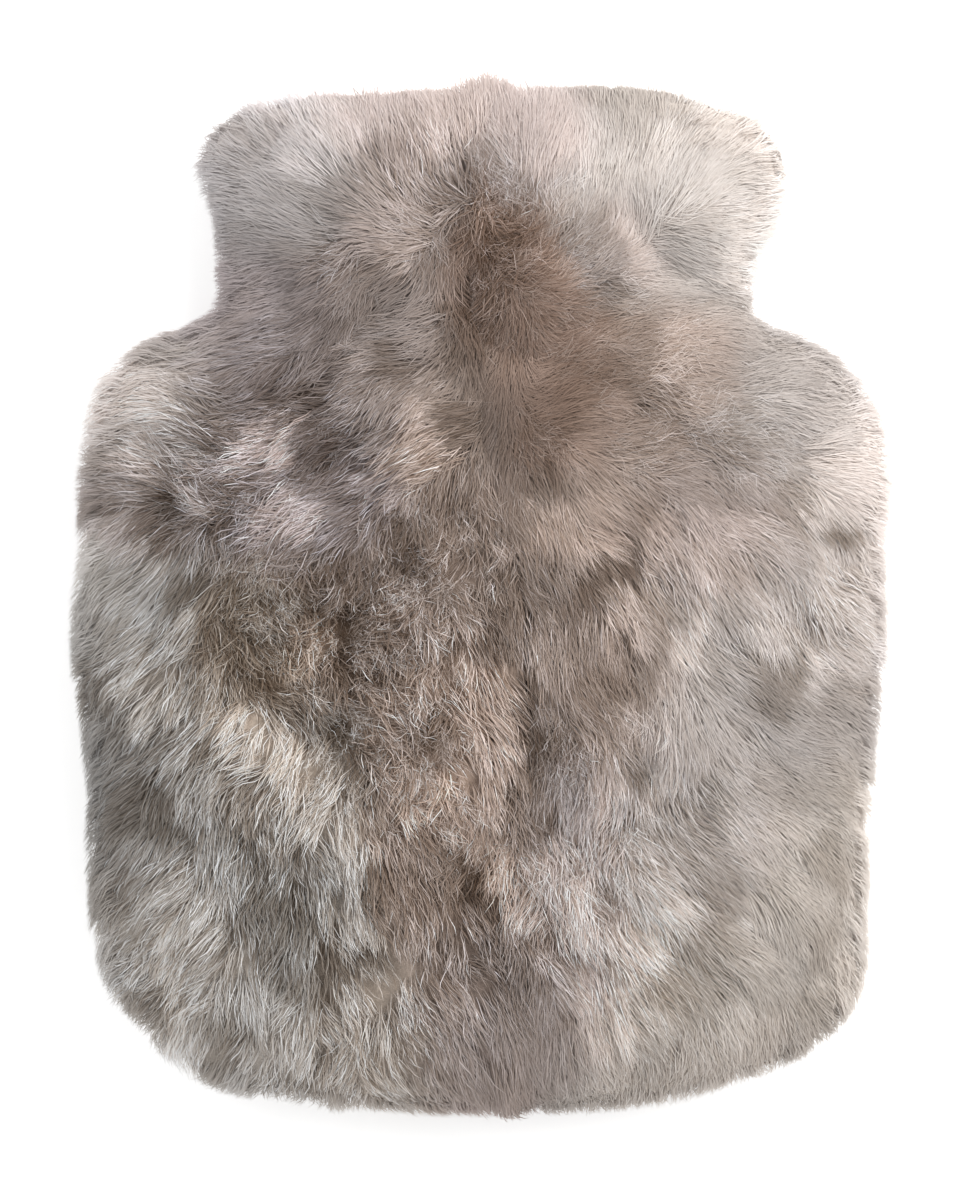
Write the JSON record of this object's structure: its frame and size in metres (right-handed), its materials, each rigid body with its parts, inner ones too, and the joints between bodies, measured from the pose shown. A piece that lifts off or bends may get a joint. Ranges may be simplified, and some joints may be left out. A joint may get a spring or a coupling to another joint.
{
  "type": "sheepskin hot water bottle cover",
  "caption": "Bottle-shaped bag of long-haired sheepskin with a flared, open collar that a hot water bottle slips in through.",
  "frame": {"origin": "middle of the box of the whole cover, on the surface that it lies on", "axes": "+Y towards the mouth, +Z out of the front, +X to the right of someone who looks down on the front"},
  "size_m": [0.2928, 0.3664, 0.0763],
  "materials": {
    "front_wool": "long wavy sheep's wool, taupe to pale grey beige, soft sheen",
    "back_wool": "long wavy sheep's wool, pale grey beige, soft sheen",
    "edge_wool": "tips of the wool, paler than the rest",
    "hide": "the skins' matt suede side"
  },
  "bodies": {
    "root": {"front_left": "front_wool", "front_right": "front_wool", "back_panel": "back_wool", "rim_locks_left": "edge_wool", "rim_locks_right": "edge_wool", "lip_locks_front": "edge_wool", "lip_locks_back": "edge_wool"}
  },
  "joints": []
}
